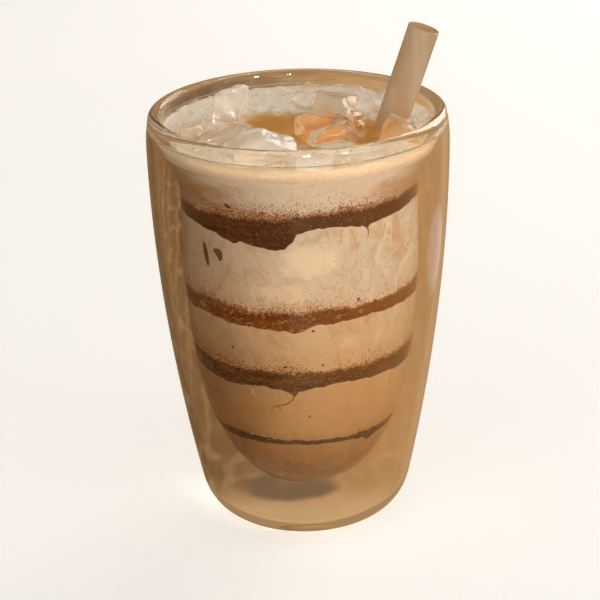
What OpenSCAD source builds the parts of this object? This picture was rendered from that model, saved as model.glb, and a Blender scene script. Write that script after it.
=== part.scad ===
// Iced coffee in a double-walled glass. Millimetres, +Z up, origin at the
// centre of the glass foot, the near side of the glass towards -Y.

/* [Glass] */
// overall height of the glass
glass_h = 122; // [118:1:126]
// largest outer radius of the outer wall
outer_r = 42.15; // [41.5:0.05:43]
// how far the outer wall draws in from shoulder to heel
outer_taper = 13.7; // [12.5:0.1:14.5]
// curvature exponent of the outer wall
outer_curve = 1.87; // [1.7:0.01:2.1]
// height of the shoulder where the outer wall is widest
shoulder_z = 112; // [110:0.5:114]
// height at which the rounded heel runs out into the side
heel_z = 12; // [11:0.5:13]
// radius of the flat foot
foot_r = 16; // [15:0.5:17]
// depth of the recess under the foot
recess_h = 0.6; // [0.4:0.1:1]
// radius of the recess under the foot
recess_r = 12; // [10:0.5:13]
// thickness of the outer wall
outer_wall = 1.6; // [1.4:0.1:2]
// thickness of the base under the air gap
base_wall = 1.9; // [1.7:0.1:2.4]
// thickness of the inner wall
inner_wall = 1.6; // [1.4:0.1:1.8]
// half thickness of the rounded lip
lip_r = 1.8; // [1.6:0.05:1.9]

/* [Inner cup] */
// lowest point of the inner cup's outer face
cup_bottom_z = 9.85; // [9.4:0.05:10.4]
// thickness of the inner cup's floor
cup_floor = 2.2; // [2:0.1:2.5]
// radius of the inner cup extrapolated down to the foot plane
cup_r0 = 27.75; // [27.5:0.05:28]
// widening of the inner cup for each mm of height
cup_slope = 0.078; // [0.075:0.001:0.081]
// how much the widening slows above mid height, for each mm
cup_ease = 0.085; // [0.08:0.001:0.09]
// extra flare of the inner cup towards the lip
cup_flare = 6.12; // [6.05:0.01:6.15]
// height where that flare starts
cup_flare_z = 99; // [98:0.5:100]
// height where it ends
cup_flare_end = 118; // [117.5:0.5:118]
// height below which the inner cup rounds in to its floor
cup_round_z = 57; // [54:1:60]

/* [Drink] */
// level of the drink
drink_z = 116; // [115:0.5:117]
// thickness of the froth on top
froth_h = 3; // [2.5:0.5:4]
// height where the brown coffee gives way to the milky part
layer_z = 54; // [53:0.5:55]
// clearance between the drink and the glass
fit_gap = 0.05; // [0.03:0.01:0.08]

/* [Chocolate rings] */
// thickness of the chocolate on the inner wall
sauce_t = 1.1; // [0.9:0.1:1.4]
// middle height of the highest ring
ring_1_z = 99.1; // [98.5:0.1:99.5]
// width of the highest ring
ring_1_w = 5.6; // [5:0.1:6]
// tilt of the highest ring in degrees
ring_1_tilt = 3.2; // [2:0.1:4]
// middle height of the second ring
ring_2_z = 72.2; // [71.5:0.1:73]
// width of the second ring
ring_2_w = 5.4; // [5:0.1:6]
// middle height of the third ring
ring_3_z = 53.7; // [53:0.1:54.5]
// width of the third ring
ring_3_w = 6; // [5.5:0.1:6.5]
// middle height of the lowest ring
ring_4_z = 32; // [31.5:0.1:32.5]
// width of the lowest ring
ring_4_w = 3; // [2.5:0.1:3.5]

/* [Straw] */
// outer diameter of the straw
straw_d = 8.6; // [8:0.1:9]
// wall of the straw
straw_wall = 0.5; // [0.4:0.1:0.7]
// length of the straw
straw_l = 136; // [130:1:145]

/* [Ice] */
// chamfer on the ice edges
ice_chamfer = 1.6; // [1:0.1:2]
// thickness of drink between the ice and the glass
ice_margin = 1.4; // [1.3:0.1:1.8]

/* [Hidden] */
round_fn = 96;
straw_foot = [-8.1, 0, 15];
straw_dir = [33.6, -2, 101];
lip_z = glass_h - lip_r;
lip_c = outer_r - 0.75 - lip_r;

// outer face of the outer wall, above the heel
function side_r(z) = outer_r - outer_taper * pow(max(0, 1 - z / shoulder_z), outer_curve);
function side_slope(z) = outer_taper * outer_curve / shoulder_z * pow(max(0, 1 - z / shoulder_z), outer_curve - 1);
// factor that rounds the inner cup in to a floor at height zb
function cup_in(z, zb) = pow(max(0, 1 - pow(min(1, max(0, (cup_round_z - z) / (cup_round_z - zb))), 2.1)), 1 / 2.8);
function ease(t) = t <= 0 ? 0 : t >= 1 ? 1 : t * t * (3 - 2 * t);
function cup_line(z) = cup_r0 + cup_slope * z - cup_ease * max(0, z - 75)
    + cup_flare * ease((z - cup_flare_z) / (cup_flare_end - cup_flare_z));
function cup_out(z) = cup_line(z) * cup_in(z, cup_bottom_z);
cup_floor_z = cup_bottom_z + cup_floor;
function cup_inn(z) = (cup_line(z) - inner_wall) * cup_in(z, cup_floor_z);

// heel: flat at the foot, turning up until it meets the side wall smoothly
heel = [for (i = [0:11]) let (t = i / 11, z = heel_z * t * t)
    [side_r(z) - (side_r(0) - foot_r) * pow(1 - t, 2.15), z]];
side = [for (i = [1:18]) let (z = heel_z + (shoulder_z - heel_z) * i / 18) [side_r(z), z]];
// above the shoulder the outer wall eases in to the lip
function shoulder_r(z) = outer_r - 0.75 * pow((z - shoulder_z) / (lip_z - shoulder_z), 2.2);
shoulder = [for (t = [0.3, 0.55, 0.8]) let (z = shoulder_z + (lip_z - shoulder_z) * t) [shoulder_r(z), z]];
lip = [for (i = [0:8]) let (a = 180 * i / 8) [lip_c + lip_r * cos(a), lip_z + lip_r * sin(a)]];
// heights of the inner face's knots, closer together where it rounds in
function down(zb, i, n) = zb + (cup_round_z - zb) * pow(1 - i / n, 2.2);
upper_knots = [116, 113, 110.2, 107.2, 104.4, 99.1, 89.5, 83, 76.5];
knots = concat(upper_knots, [for (i = [0:13]) down(cup_floor_z, i, 14)]);
// inner face from height z1 down to z0, drawn in by off
function face(z1, z0, off) = concat([[cup_inn(z1) - off, z1]],
    [for (z = knots) if (z < z1 - 0.01 && z > z0 + 0.01) [cup_inn(z) - off, z]]);
inner_face = face(119, cup_floor_z, 0);
// air gap between the walls, up to a narrow rounded top just under the lip
gap_z = lip_z - 2.8;
cavity_in = concat(
    [for (i = [1:14]) let (z = down(cup_bottom_z, 14 - i, 14)) [cup_out(z), z]],
    [for (i = [len(upper_knots) - 1:-1:1]) let (z = upper_knots[i]) [cup_out(z), z]]);
cav_ri = cup_out(gap_z);
cav_ro = shoulder_r(gap_z) - outer_wall;
cav_c = (cav_ri + cav_ro) / 2;
cav_rr = (cav_ro - cav_ri) / 2;
cavity_top = [for (i = [0:8]) let (a = 180 - 180 * i / 8) [cav_c + cav_rr * cos(a), gap_z + cav_rr * sin(a)]];
cavity_out = concat([[shoulder_r(shoulder_z + 2) - outer_wall, shoulder_z + 2]],
    [for (i = [0:14]) let (z = 110 - (110 - heel_z) * i / 14)
        [side_r(z) - outer_wall * sqrt(1 + pow(side_slope(z), 2)), z]]);
cav_low_z = recess_h + base_wall;
cav_foot_r = foot_r - 1.5;
cavity_heel = [for (i = [1:11]) let (t = 1 - i / 11, z = cav_low_z + (heel_z - cav_low_z) * t * t,
    w = outer_wall * sqrt(1 + pow(side_slope(heel_z), 2)))
    [side_r(z) - w - (side_r(cav_low_z) - w - cav_foot_r) * pow(1 - t, 2.15), z]];

module glass() color([0.86, 0.88, 0.86, 0.35])
    rotate_extrude($fn = round_fn) polygon(concat(
        [[0, recess_h], [recess_r, recess_h], [recess_r + 0.8, 0]],
        heel, side, shoulder, lip, inner_face,
        [[0, cup_floor_z], [0, cup_bottom_z]],
        cavity_in, cavity_top, cavity_out, cavity_heel,
        [[0, cav_low_z]]));

// everything inside the inner wall between two heights, kept off the glass by off
module room(z0, z1, off) rotate([0, 0, 101.25]) rotate_extrude($fn = round_fn) polygon(concat([[0, z1]], face(z1, z0, off),
    z0 > cup_floor_z ? [[cup_inn(z0) - off, z0], [0, z0]] : [[0, cup_floor_z + off]]));

// upright-box ice with every edge chamfered, tilted and set into place
module ice_block(at, size, turn) translate(at) rotate(turn) intersection() {
    cube(size, center = true);
    let (d = size[0] / 2 + size[1] / 2 - ice_chamfer) rotate([0, 0, 45])
        cube([d * sqrt(2), d * sqrt(2), size[2] + 2], center = true);
    let (d = size[0] / 2 + size[2] / 2 - ice_chamfer) rotate([0, 45, 0])
        cube([d * sqrt(2), size[1] + 2, d * sqrt(2)], center = true);
    let (d = size[1] / 2 + size[2] / 2 - ice_chamfer) rotate([45, 0, 0])
        cube([size[0] + 2, d * sqrt(2), d * sqrt(2)], center = true);
}
ICE = [[[-19.6, 12.0, 112.6], [7.2, 18, 22], [4, 6, -12]],
       [[-9.0, -23.2, 112.6], [19.5, 11.5, 18], [16, -8, 6]],
       [[-20.6, -10.6, 113.8], [13, 8.5, 9], [3, -4, 8]],
       [[8.6, -10.2, 112.8], [15.5, 14.5, 18], [-6, 8, 20]],
       [[27.4, -13.4, 113.4], [11, 9.5, 15], [8, 12, -18]],
       [[10.6, 13.6, 113.0], [11, 12.5, 15], [-5, 4, -8]],
       [[-29.2, -1.6, 112.0], [6.6, 12, 13], [0, 5, -4]],
       [[16.6, 1.2, 114.6], [3.6, 7.5, 8], [6, 10, 14]]];
module ice(i) color([0.84, 0.76, 0.64, 0.75]) intersection() {
    ice_block(ICE[i][0], ICE[i][1], ICE[i][2]);
    rotate_extrude($fn = round_fn) polygon([[0, 95],
        [cup_inn(95) - ice_margin, 95], [cup_inn(104) - ice_margin, 104],
        [cup_inn(117) - ice_margin, 117], [cup_inn(117) - ice_margin, 128], [0, 128]]);
}
module ice_1() ice(0);
module ice_2() ice(1);
module ice_3() ice(2);
module ice_4() ice(3);
module ice_5() ice(4);
module ice_6() ice(5);
module ice_7() ice(6);
module ice_8() ice(7);
module all_ice() for (i = [0:7]) ice(i);

straw_lean = atan2(norm([straw_dir[0], straw_dir[1]]), straw_dir[2]);
straw_turn = atan2(straw_dir[1], straw_dir[0]);
module straw_rod(d, l) translate(straw_foot) rotate([0, straw_lean, straw_turn])
    rotate([0, 0, 67.5]) cylinder(d = d, h = l, $fn = 48);
module straw() color([0.74, 0.62, 0.48, 0.8]) difference() {
    straw_rod(straw_d, straw_l);
    translate(-0.01 * straw_dir) straw_rod(straw_d - 2 * straw_wall, straw_l + 4);
}

// a round lobe of sauce running down from a ring, pointing outwards at angle a
module drip(a, z, w, drop) rotate([0, 0, a - 90]) translate([0, 0, z]) rotate([0, 90, 0]) {
    translate([drop, 0, 15]) cylinder(d = w, h = 30, $fn = 32);
    translate([0, -w / 2, 15]) cube([drop, w, 30]);
}
// band reaching from the sauce's inner face out into the glass
module wall_band(z0, z1) rotate([0, 0, 101.25]) rotate_extrude($fn = round_fn) polygon(concat(
    face(z1, z0, sauce_t), [[cup_inn(z0) - sauce_t, z0], [cup_inn(z0) + 4, z0], [cup_inn(z1) + 4, z1]]));
module slab(z, w, tilt, turn) translate([0, 0, z]) rotate([0, 0, turn]) rotate([0, -tilt, 0])
    translate([-45, -45, -w / 2]) cube([90, 90, w]);

module ring_1_space() intersection() {
    wall_band(86, 108);
    union() {
        slab(ring_1_z, ring_1_w, ring_1_tilt, -60);
        drip(-24, 96.4, 9, 1.5);
        drip(-10, 97, 8, 3);
        drip(150, 97, 7, 2);
        drip(205, 96.5, 5, 2);
    }
}
module ring_2_space() intersection() {
    wall_band(62, 80);
    union() {
        slab(ring_2_z, ring_2_w, 0.3, 20);
        drip(-8, 70.6, 6, 1.4);
        drip(120, 71, 7, 1.6);
        drip(190, 71, 5, 2.4);
    }
}
module ring_3_space() intersection() {
    wall_band(44, 62);
    union() {
        slab(ring_3_z, ring_3_w, 0.4, 170);
        drip(-6, 52, 5, 1.2);
        drip(110, 52, 6, 1.6);
        drip(230, 52, 7, 1);
    }
}
module ring_4_space() intersection() {
    wall_band(26, 38);
    union() {
        slab(ring_4_z, ring_4_w, 0.3, 0);
        drip(40, 31.4, 5, 0.9);
        drip(170, 31.4, 6, 0.7);
    }
}
module chocolate_ring_1() color([0.30, 0.16, 0.07]) intersection() { room(84, 110, fit_gap); ring_1_space(); }
module chocolate_ring_2() color([0.34, 0.19, 0.08]) intersection() { room(60, 82, fit_gap); ring_2_space(); }
module chocolate_ring_3() color([0.34, 0.20, 0.09]) intersection() { room(42, 64, fit_gap); ring_3_space(); }
module chocolate_ring_4() color([0.40, 0.25, 0.12]) intersection() { room(24, 40, fit_gap); ring_4_space(); }

module coffee() color([0.55, 0.36, 0.19]) difference() {
    room(0, layer_z, fit_gap);
    straw_rod(straw_d + 2 * fit_gap, 90);
    ring_3_space();
    ring_4_space();
}
module milk_coffee() color([0.86, 0.74, 0.56]) difference() {
    room(layer_z, drink_z - froth_h, fit_gap);
    straw_rod(straw_d + 2 * fit_gap, straw_l);
    ring_1_space();
    ring_2_space();
    ring_3_space();
    all_ice();
}
module froth() color([0.90, 0.82, 0.68]) difference() {
    room(drink_z - froth_h, drink_z, fit_gap);
    straw_rod(straw_d + 2 * fit_gap, straw_l);
    all_ice();
}

glass();
coffee();
milk_coffee();
froth();
chocolate_ring_1();
chocolate_ring_2();
chocolate_ring_3();
chocolate_ring_4();
ice_1();
ice_2();
ice_3();
ice_4();
ice_5();
ice_6();
ice_7();
ice_8();
straw();
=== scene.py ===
import math
import random
import bpy
import bmesh
import numpy as np
from mathutils import Vector, Matrix, noise, Euler


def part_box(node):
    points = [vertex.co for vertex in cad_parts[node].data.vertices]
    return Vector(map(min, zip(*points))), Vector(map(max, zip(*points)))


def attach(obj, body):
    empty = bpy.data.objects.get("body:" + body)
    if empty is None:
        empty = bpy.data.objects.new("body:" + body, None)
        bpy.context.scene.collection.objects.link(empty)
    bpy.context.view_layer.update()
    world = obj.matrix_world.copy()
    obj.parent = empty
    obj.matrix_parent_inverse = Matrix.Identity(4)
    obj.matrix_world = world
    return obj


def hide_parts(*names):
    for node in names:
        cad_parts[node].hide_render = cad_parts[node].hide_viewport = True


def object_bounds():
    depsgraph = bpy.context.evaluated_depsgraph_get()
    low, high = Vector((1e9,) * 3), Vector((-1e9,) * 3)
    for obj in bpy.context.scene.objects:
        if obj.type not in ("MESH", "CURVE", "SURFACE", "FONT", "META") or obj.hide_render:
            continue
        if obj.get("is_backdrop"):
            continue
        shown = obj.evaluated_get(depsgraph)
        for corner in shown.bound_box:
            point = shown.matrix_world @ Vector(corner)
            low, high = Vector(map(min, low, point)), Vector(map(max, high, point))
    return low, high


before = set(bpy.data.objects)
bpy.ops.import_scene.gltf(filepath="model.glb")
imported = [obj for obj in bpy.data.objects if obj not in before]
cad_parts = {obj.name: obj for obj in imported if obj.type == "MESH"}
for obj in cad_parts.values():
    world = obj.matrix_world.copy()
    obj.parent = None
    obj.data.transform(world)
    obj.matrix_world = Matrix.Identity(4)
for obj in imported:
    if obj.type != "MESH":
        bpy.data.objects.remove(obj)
cad_lo, cad_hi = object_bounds()
random.seed(7)
rng = np.random.default_rng(7)
MM = 0.001
TAU = 2 * math.pi
scene = bpy.context.scene

# ------------------------------------------------------------------ sizes, mm
g_lo, g_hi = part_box("glass")
H = g_hi[2] / MM            # glass height
ZM, RM, TK, TP = 112.0, 42.15, 13.7, 1.87
LIP = 1.8
LIP_Z = H - LIP
LIP_C = RM - 0.75 - LIP
FLOOR_OUT, FLOOR_IN = 9.85, 12.05
ROUND_Z = 57.0
FOOT_R, HEEL_Z = 16.0, 12.0
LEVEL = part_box("froth")[1][2] / MM


def side_r(z):
    return RM - TK * max(0.0, 1 - z / ZM) ** TP


def side_slope(z):
    return TK * TP / ZM * max(0.0, 1 - z / ZM) ** (TP - 1)


def cup_in(z, zb):
    t = min(1.0, max(0.0, (ROUND_Z - z) / (ROUND_Z - zb)))
    return max(0.0, 1 - t ** 2.1) ** (1 / 2.8)


def cup_line(z):
    return 27.75 + 0.078 * z - 0.085 * max(0.0, z - 75) + 6.12 * smooth(99, 118, z)


def shoulder_r(z):
    return RM - 0.75 * ((z - ZM) / (LIP_Z - ZM)) ** 2.2


def r_io(z):
    return cup_line(z) * cup_in(z, FLOOR_OUT)


def r_ii(z):
    return (cup_line(z) - 1.6) * cup_in(z, FLOOR_IN)


def smooth(a, b, x):
    t = min(1.0, max(0.0, (x - a) / (b - a)))
    return t * t * (3 - 2 * t)


def at(a, r, z):
    """Point at angle a degrees from the near side, growing towards +X."""
    t = math.radians(a)
    return (r * math.sin(t), -r * math.cos(t), z)


def fbm(x, y, z, octaves=4, h=1.0):
    return noise.fractal(Vector((x, y, z)), h, 2.0, octaves)


# ------------------------------------------------------------------ mesh help
def mesh_object(name, verts, faces, smooth_shade=True, attrs=None):
    me = bpy.data.meshes.new(name)
    me.from_pydata([(v[0] * MM, v[1] * MM, v[2] * MM) for v in verts], [], faces)
    me.validate()
    if attrs:
        for key, vals in attrs.items():
            layer = me.attributes.new(key, "FLOAT", "POINT")
            layer.data.foreach_set("value", np.asarray(vals, dtype=np.float32))
    me.polygons.foreach_set("use_smooth", [smooth_shade] * len(me.polygons))
    me.update()
    ob = bpy.data.objects.new(name, me)
    scene.collection.objects.link(ob)
    return ob


def outward(ob):
    bm = bmesh.new()
    bm.from_mesh(ob.data)
    bmesh.ops.recalc_face_normals(bm, faces=bm.faces)
    bm.to_mesh(ob.data)
    bm.free()
    return ob


def lathe(profile, n, verts, faces, flip=False):
    """Adds a closed shell turned round Z; the profile's two ends lie on the axis."""
    base = len(verts)
    verts.append((0, 0, profile[0][1]))
    for (r, z) in profile[1:-1]:
        for j in range(n):
            t = TAU * j / n
            verts.append((r * math.cos(t), r * math.sin(t), z))
    last = len(verts)
    verts.append((0, 0, profile[-1][1]))
    rows = len(profile) - 2
    for j in range(n):
        k = (j + 1) % n
        f = (base, base + 1 + k, base + 1 + j)
        faces.append(f[::-1] if flip else f)
        for i in range(rows - 1):
            a = base + 1 + i * n
            b = a + n
            f = (a + j, a + k, b + k, b + j)
            faces.append(f[::-1] if flip else f)
        a = base + 1 + (rows - 1) * n
        f = (a + j, a + k, last)
        faces.append(f[::-1] if flip else f)


# ------------------------------------------------------------------ materials
def srgb(r, g, b):
    def f(c):
        c /= 255.0
        return c / 12.92 if c <= 0.04045 else ((c + 0.055) / 1.055) ** 2.4
    return (f(r), f(g), f(b), 1.0)


def tone(rgb, k):
    return (rgb[0] * k, rgb[1] * k, rgb[2] * k, 1.0)


class Mat:
    def __init__(self, name):
        self.m = bpy.data.materials.new(name)
        self.m.use_nodes = True
        self.t = self.m.node_tree
        self.n = self.t.nodes
        self.l = self.t.links
        self.p = self.n["Principled BSDF"]
        self.out = self.n["Material Output"]
        tc = self.n.new("ShaderNodeTexCoord")
        mp = self.n.new("ShaderNodeVectorMath")
        mp.operation = "SCALE"
        mp.inputs["Scale"].default_value = 1000.0
        self.l.new(tc.outputs["Object"], mp.inputs[0])
        self.mm = mp.outputs[0]          # object coordinates in mm

    def set(self, **kw):
        for k, v in kw.items():
            self.p.inputs[k.replace("_", " ")].default_value = v
        return self

    def link(self, a, b):
        self.l.new(a, b)

    def math(self, op, a, b=None, clamp=False):
        n = self.n.new("ShaderNodeMath")
        n.operation = op
        n.use_clamp = clamp
        for i, v in enumerate((a, b)):
            if v is None:
                continue
            if isinstance(v, (int, float)):
                n.inputs[i].default_value = v
            else:
                self.l.new(v, n.inputs[i])
        return n.outputs[0]

    def stretch(self, vec, s):
        n = self.n.new("ShaderNodeVectorMath")
        n.operation = "MULTIPLY"
        self.l.new(vec, n.inputs[0])
        n.inputs[1].default_value = s
        return n.outputs[0]

    def offset(self, vec, add):
        n = self.n.new("ShaderNodeVectorMath")
        n.operation = "ADD"
        self.l.new(vec, n.inputs[0])
        if isinstance(add, tuple):
            n.inputs[1].default_value = add
        else:
            self.l.new(add, n.inputs[1])
        return n.outputs[0]

    def noise(self, size, detail=3.0, rough=0.5, distort=0.0, vec=None, out="Fac"):
        n = self.n.new("ShaderNodeTexNoise")
        n.inputs["Scale"].default_value = 1.0 / size
        n.inputs["Detail"].default_value = detail
        n.inputs["Roughness"].default_value = rough
        n.inputs["Distortion"].default_value = distort
        self.l.new(vec if vec is not None else self.mm, n.inputs["Vector"])
        return n.outputs[out]

    def ramp(self, fac, stops, mode="LINEAR"):
        n = self.n.new("ShaderNodeValToRGB")
        n.color_ramp.interpolation = mode
        e = n.color_ramp.elements
        while len(e) > 1:
            e.remove(e[-1])
        e[0].position, e[0].color = stops[0][0], stops[0][1]
        for p, c in stops[1:]:
            el = e.new(p)
            el.color = c
        self.l.new(fac, n.inputs[0])
        return n.outputs[0]

    def span(self, fac, lo, hi, to_lo=0.0, to_hi=1.0, soft=True):
        n = self.n.new("ShaderNodeMapRange")
        n.interpolation_type = "SMOOTHSTEP" if soft else "LINEAR"
        n.clamp = True
        self.l.new(fac, n.inputs["Value"])
        n.inputs["From Min"].default_value = lo
        n.inputs["From Max"].default_value = hi
        n.inputs["To Min"].default_value = to_lo
        n.inputs["To Max"].default_value = to_hi
        return n.outputs[0]

    def mix(self, fac, a, b, kind="MIX"):
        n = self.n.new("ShaderNodeMix")
        n.data_type = "RGBA"
        n.blend_type = kind
        for sock, v in ((n.inputs["Factor"], fac), (n.inputs[6], a), (n.inputs[7], b)):
            if isinstance(v, (int, float, tuple)):
                sock.default_value = v
            else:
                self.l.new(v, sock)
        return n.outputs[2]

    def sep(self, vec):
        n = self.n.new("ShaderNodeSeparateXYZ")
        self.l.new(vec, n.inputs[0])
        return n.outputs

    def attr(self, name):
        n = self.n.new("ShaderNodeAttribute")
        n.attribute_name = name
        return n.outputs["Fac"]

    def bump(self, height, strength=0.3, dist=0.0003):
        n = self.n.new("ShaderNodeBump")
        n.inputs["Strength"].default_value = strength
        n.inputs["Distance"].default_value = dist
        self.l.new(height, n.inputs["Height"])
        self.l.new(n.outputs[0], self.p.inputs["Normal"])

    def color(self, sock):
        self.l.new(sock, self.p.inputs["Base Color"])

    def lets_lamps_through(self, rgb):
        """Shadow rays pass as through thin clear glass."""
        tr = self.n.new("ShaderNodeBsdfTransparent")
        tr.inputs[0].default_value = rgb
        lp = self.n.new("ShaderNodeLightPath")
        mx = self.n.new("ShaderNodeMixShader")
        self.l.new(lp.outputs["Is Shadow Ray"], mx.inputs[0])
        self.l.new(self.p.outputs[0], mx.inputs[1])
        self.l.new(tr.outputs[0], mx.inputs[2])
        self.l.new(mx.outputs[0], self.out.inputs["Surface"])


def glass_material():
    m = Mat("clear_borosilicate")
    m.set(Roughness=0.0, IOR=1.47, Transmission_Weight=1.0)
    m.p.inputs["Base Color"].default_value = GLASS_TINT
    # very faint hand-worked waviness
    w = m.noise(22.0, 1.0, 0.4, vec=m.stretch(m.mm, (1.0, 1.0, 0.35)))
    m.bump(w, 0.12, 0.0006)
    m.lets_lamps_through((0.97, 0.95, 0.92, 1.0))
    # rays that bounce more than eight times in the thin walls get a painted warm glow (an emission) instead of turning
    # black
    out = next(n for n in m.n if n.type == "OUTPUT_MATERIAL")
    was = out.inputs["Surface"].links[0].from_socket
    lp = m.n.new("ShaderNodeLightPath")
    deep = m.math("GREATER_THAN", lp.outputs["Ray Depth"], 8.5)
    deep = m.math("MULTIPLY", deep, m.math("SUBTRACT", 1.0, lp.outputs["Is Shadow Ray"]))
    painted_glow = m.n.new("ShaderNodeEmission")
    painted_glow.inputs["Color"].default_value = (0.40, 0.235, 0.105, 1)
    mx = m.n.new("ShaderNodeMixShader")
    m.link(deep, mx.inputs[0])
    m.link(was, mx.inputs[1])
    m.link(painted_glow.outputs[0], mx.inputs[2])
    m.link(mx.outputs[0], out.inputs["Surface"])
    m.m.cycles.emission_sampling = "NONE"
    return m.m


GLASS_TINT = (0.955, 0.897, 0.815, 1.0)

# zones of the drink, bottom to top, as albedo
CREAM = srgb(230, 225, 214)
CREAM2 = srgb(227, 215, 199)
BEIGE = srgb(216, 191, 157)
TAN = srgb(204, 168, 122)
BROWN = srgb(154, 110, 66)
DEEP = srgb(122, 82, 44)


def drink_material():
    m = Mat("layered_milk_and_coffee")
    x, y, z = m.sep(m.mm)
    # the layers wander a little up and down
    w1 = m.noise(26.0, 3.0, 0.55, 1.2)
    w2 = m.noise(9.0, 3.0, 0.55, 1.5)
    zz = m.math("ADD", z, m.math("MULTIPLY", m.math("SUBTRACT", w1, 0.5), 12.0))
    zz = m.math("ADD", zz, m.math("MULTIPLY", m.math("SUBTRACT", w2, 0.5), 3.0))
    t = m.span(zz, 10.0, 118.0, soft=False)
    f = lambda v: (v - 10.0) / 108.0
    base = m.ramp(t, [(f(10), DEEP), (f(22), BROWN), (f(31), srgb(180, 137, 90)),
                      (f(36), TAN), (f(50), srgb(208, 174, 128)), (f(56), BEIGE), (f(68), srgb(228, 204, 170)),
                      (f(76), CREAM2), (f(90), CREAM), (f(104), CREAM), (f(116), srgb(246, 230, 206))], "B_SPLINE")
    # slow clouds of tan that drift through the cream
    cloud = m.noise(30.0, 4.0, 0.6, 2.2, vec=m.stretch(m.mm, (1.0, 1.0, 0.8)))
    cloud = m.span(cloud, 0.50, 0.68)
    high = m.span(z, 56.0, 74.0)
    base = m.mix(m.math("MULTIPLY", cloud, m.math("MULTIPLY", high, 0.55)), base, srgb(206, 166, 118))
    # fine curling wisps
    warp = m.noise(16.0, 2.0, 0.5, 0.0, out="Color")
    sh = m.n.new("ShaderNodeVectorMath")
    sh.operation = "SCALE"
    sh.inputs["Scale"].default_value = 22.0
    m.link(warp, sh.inputs[0])
    wv = m.offset(m.mm, sh.outputs[0])
    wisp = m.noise(7.0, 2.0, 0.45, 0.6, vec=m.stretch(wv, (1.0, 1.0, 0.45)))
    ridge = m.math("ABSOLUTE", m.math("SUBTRACT", wisp, 0.5))
    ridge = m.span(ridge, 0.0, 0.05, 1.0, 0.0)
    base = m.mix(m.math("MULTIPLY", ridge, 0.32), base, srgb(196, 152, 100))
    pale = m.span(m.noise(13.0, 3.0, 0.5, 1.0, vec=m.offset(wv, (40.0, 10.0, 5.0))), 0.54, 0.70)
    base = m.mix(m.math("MULTIPLY", pale, m.math("MULTIPLY", high, 0.6)), base, srgb(252, 245, 232))
    # the left-hand side is browner: partly more coffee there, partly painted shade on the side away from the key lamp
    left = m.span(x, -30.0, 4.0, 1.0, 0.0)
    base = m.mix(m.math("MULTIPLY", left, m.math("MULTIPLY", high, 0.34)), base, srgb(196, 150, 98))
    # lower down on the left a stronger brown, the same mix of coffee and painted shade
    low_left = m.math("MULTIPLY", left, m.span(z, 52.0, 74.0, 1.0, 0.0))
    base = m.mix(m.math("MULTIPLY", low_left, 0.62), base, srgb(146, 94, 48))
    # pale froth clings along the top with a ragged lower edge
    line = m.math("ADD", z, m.math("MULTIPLY", m.math("SUBTRACT", m.noise(7.0, 4.0, 0.62, 0.8), 0.5), 9.0))
    base = m.mix(m.math("MULTIPLY", m.span(line, 109.6, 110.3), 0.8), base, srgb(238, 233, 226))
    # a tan swirl in the upper left and an amber one in the upper right
    def patch(cx, cz, rx, rz, col, k, front=0.0):
        wob = m.math("MULTIPLY", m.math("SUBTRACT", m.noise(9.0, 4.0, 0.6, 1.6), 0.5), 3.0)
        dx = m.math("DIVIDE", m.math("SUBTRACT", x, cx), rx)
        dz = m.math("DIVIDE", m.math("SUBTRACT", z, cz), rz)
        d = m.math("ADD", m.math("ADD", m.math("MULTIPLY", dx, dx), m.math("MULTIPLY", dz, dz)), wob)
        f = m.math("MULTIPLY", m.span(d, 0.1, 1.5, 1.0, 0.0), m.span(y, -6.0, front, 1.0, 0.0))
        return m.mix(m.math("MULTIPLY", f, k), base, col)
    ax = m.math("ABSOLUTE", x)
    side = m.math("MULTIPLY", m.span(ax, 23.0, 32.0), m.span(z, 94.0, 102.0))
    base = m.mix(m.math("MULTIPLY", side, 0.62), base, srgb(178, 132, 84))
    base = patch(-22.0, 105.2, 11.0, 3.8, srgb(190, 140, 88), 0.62)
    base = patch(24.0, 107.0, 7.0, 3.2, srgb(206, 156, 100), 0.55)
    base = m.mix(m.math("MULTIPLY", m.span(z, 90.0, 98.0, 1.0, 0.0), 0.10), base, srgb(150, 116, 84))
    base = patch(-1.0, 106.5, 20.0, 4.2, srgb(250, 245, 235), 0.75)
    base = patch(3.0, 88.5, 8.5, 5.0, srgb(252, 242, 226), 0.7)
    base = patch(-4.0, 79.5, 9.0, 2.6, srgb(250, 238, 218), 0.6)
    # sauce washing down through the cream on the right
    run = m.noise(2.6, 3.0, 0.55, 0.5, vec=m.stretch(m.mm, (1.0, 1.0, 0.11)))
    zone = m.math("MULTIPLY", m.span(x, 8.0, 15.0), m.math("MULTIPLY", m.span(z, 83.0, 92.0), m.span(z, 98.0, 100.0, 1.0, 0.0)))
    base = m.mix(m.math("MULTIPLY", m.math("MULTIPLY", m.span(run, 0.50, 0.66), zone), 0.42), base, srgb(206, 156, 100))
    # cocoa haze, denser just over each ring
    haze = m.noise(0.55, 2.0, 0.6)
    near = None
    for zr, k in ((103.5, 1.0), (76.5, 0.8), (58.5, 0.9), (35.0, 0.5)):
        b = m.math("MULTIPLY", m.span(z, zr - 1.5, zr + 0.5), m.span(z, zr + 0.5, zr + 5.0, 1.0, 0.0))
        b = m.math("MULTIPLY", b, k)
        near = b if near is None else m.math("MAXIMUM", near, b)
    sp = m.span(haze, 0.60, 0.68)
    base = m.mix(m.math("MULTIPLY", sp, m.math("MULTIPLY", near, 0.8)), base, srgb(140, 78, 32))
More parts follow.
